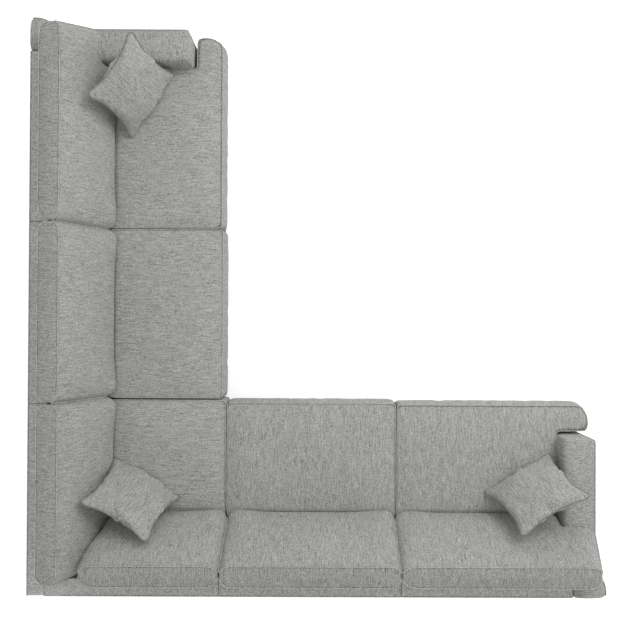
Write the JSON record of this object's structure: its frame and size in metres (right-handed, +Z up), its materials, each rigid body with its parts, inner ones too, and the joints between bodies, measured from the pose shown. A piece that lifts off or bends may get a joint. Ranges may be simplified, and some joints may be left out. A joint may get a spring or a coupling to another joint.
{
  "type": "sectional sofa",
  "caption": "L-shaped modular sectional sofa: corner, armless and armed modules with T-shaped seats, loose back cushions and throw pillows",
  "frame": {"origin": "on the floor, under the middle of the whole sofa's bounding box", "axes": "+Z up; the two backs stand along the -X and -Y sides, so the seats face +X on the left run and +Y on the rear run"},
  "size_m": [2.8862, 2.8862, 0.8816],
  "materials": {
    "grey_fabric": "matte",
    "seat_webbing": "matte",
    "foot_plastic": "matte",
    "connector_steel": "satin"
  },
  "bodies": {
    "corner": {"corner_base_frame": "grey_fabric", "corner_seat_webbing": "seat_webbing", "corner_left_back_frame": "grey_fabric", "corner_rear_back_frame": "grey_fabric", "corner_left_connector_claw": "connector_steel", "corner_right_connector_claw": "connector_steel", "corner_foot_1": "foot_plastic", "corner_foot_2": "foot_plastic", "corner_foot_3": "foot_plastic", "corner_foot_4": "foot_plastic"},
    "armless_left": {"armless_left_base_frame": "grey_fabric", "armless_left_seat_webbing": "seat_webbing", "armless_left_back_frame": "grey_fabric", "armless_left_connector_tongue": "connector_steel", "armless_left_connector_claw": "connector_steel", "armless_left_foot_1": "foot_plastic", "armless_left_foot_2": "foot_plastic", "armless_left_foot_3": "foot_plastic", "armless_left_foot_4": "foot_plastic"},
    "armed_left": {"armed_left_base_frame": "grey_fabric", "armed_left_seat_webbing": "seat_webbing", "armed_left_back_frame": "grey_fabric", "armed_left_arm": "grey_fabric", "armed_left_connector_tongue": "connector_steel", "armed_left_foot_1": "foot_plastic", "armed_left_foot_2": "foot_plastic", "armed_left_foot_3": "foot_plastic", "armed_left_foot_4": "foot_plastic"},
    "armless_right": {"armless_right_base_frame": "grey_fabric", "armless_right_seat_webbing": "seat_webbing", "armless_right_back_frame": "grey_fabric", "armless_right_connector_tongue": "connector_steel", "armless_right_connector_claw": "connector_steel", "armless_right_foot_1": "foot_plastic", "armless_right_foot_2": "foot_plastic", "armless_right_foot_3": "foot_plastic", "armless_right_foot_4": "foot_plastic"},
    "armed_right": {"armed_right_base_frame": "grey_fabric", "armed_right_seat_webbing": "seat_webbing", "armed_right_back_frame": "grey_fabric", "armed_right_arm": "grey_fabric", "armed_right_connector_tongue": "connector_steel", "armed_right_foot_1": "foot_plastic", "armed_right_foot_2": "foot_plastic", "armed_right_foot_3": "foot_plastic", "armed_right_foot_4": "foot_plastic"},
    "corner_seat": {"corner_seat_cushion": "grey_fabric"},
    "corner_left_back": {"corner_left_back_cushion": "grey_fabric"},
    "corner_rear_back": {"corner_rear_back_cushion": "grey_fabric"},
    "corner_pillow": {"throw_pillow_corner": "grey_fabric"},
    "armless_left_seat": {"armless_left_seat_cushion": "grey_fabric"},
    "armless_left_back": {"armless_left_back_cushion": "grey_fabric"},
    "armed_left_seat": {"armed_left_seat_cushion": "grey_fabric"},
    "armed_left_back": {"armed_left_back_cushion": "grey_fabric"},
    "left_pillow": {"throw_pillow_left": "grey_fabric"},
    "armless_right_seat": {"armless_right_seat_cushion": "grey_fabric"},
    "armless_right_back": {"armless_right_back_cushion": "grey_fabric"},
    "armed_right_seat": {"armed_right_seat_cushion": "grey_fabric"},
    "armed_right_back": {"armed_right_back_cushion": "grey_fabric"},
    "right_pillow": {"throw_pillow_right": "grey_fabric"}
  },
  "joints": [
    {"name": "armless_left_unhook", "type": "slide", "parent": "corner", "child": "armless_left", "axis": [0, 1, 0], "range_m": [0, 0.3]},
    {"name": "armed_left_unhook", "type": "slide", "parent": "armless_left", "child": "armed_left", "axis": [0, 1, 0], "range_m": [0, 0.3]},
    {"name": "armless_right_unhook", "type": "slide", "parent": "corner", "child": "armless_right", "axis": [1, 0, 0], "range_m": [0, 0.3]},
    {"name": "armed_right_unhook", "type": "slide", "parent": "armless_right", "child": "armed_right", "axis": [1, 0, 0], "range_m": [0, 0.3]},
    {"name": "corner_seat_lift", "type": "slide", "parent": "corner", "child": "corner_seat", "axis": [0, 0, 1], "range_m": [0, 0.31]},
    {"name": "corner_left_back_lift", "type": "slide", "parent": "corner_seat", "child": "corner_left_back", "axis": [0, 0, 1], "range_m": [0, 0.3]},
    {"name": "corner_rear_back_lift", "type": "slide", "parent": "corner_left_back", "child": "corner_rear_back", "axis": [0, 0, 1], "range_m": [0, 0.3]},
    {"name": "corner_pillow_lift", "type": "slide", "parent": "corner_rear_back", "child": "corner_pillow", "axis": [0, 0, 1], "range_m": [0, 0.4]},
    {"name": "armless_left_seat_lift", "type": "slide", "parent": "armless_left", "child": "armless_left_seat", "axis": [0, 0, 1], "range_m": [0, 0.31]},
    {"name": "armless_left_back_lift", "type": "slide", "parent": "armless_left_seat", "child": "armless_left_back", "axis": [0, 0, 1], "range_m": [0, 0.3]},
    {"name": "armed_left_seat_lift", "type": "slide", "parent": "armed_left", "child": "armed_left_seat", "axis": [0, 0, 1], "range_m": [0, 0.31]},
    {"name": "armed_left_back_lift", "type": "slide", "parent": "armed_left_seat", "child": "armed_left_back", "axis": [0, 0, 1], "range_m": [0, 0.3]},
    {"name": "left_pillow_lift", "type": "slide", "parent": "armed_left_back", "child": "left_pillow", "axis": [0, 0, 1], "range_m": [0, 0.4]},
    {"name": "armless_right_seat_lift", "type": "slide", "parent": "armless_right", "child": "armless_right_seat", "axis": [0, 0, 1], "range_m": [0, 0.31]},
    {"name": "armless_right_back_lift", "type": "slide", "parent": "armless_right_seat", "child": "armless_right_back", "axis": [0, 0, 1], "range_m": [0, 0.3]},
    {"name": "armed_right_seat_lift", "type": "slide", "parent": "armed_right", "child": "armed_right_seat", "axis": [0, 0, 1], "range_m": [0, 0.31]},
    {"name": "armed_right_back_lift", "type": "slide", "parent": "armed_right_seat", "child": "armed_right_back", "axis": [0, 0, 1], "range_m": [0, 0.3]},
    {"name": "right_pillow_lift", "type": "slide", "parent": "armed_right_back", "child": "right_pillow", "axis": [0, 0, 1], "range_m": [0, 0.4]}
  ]
}
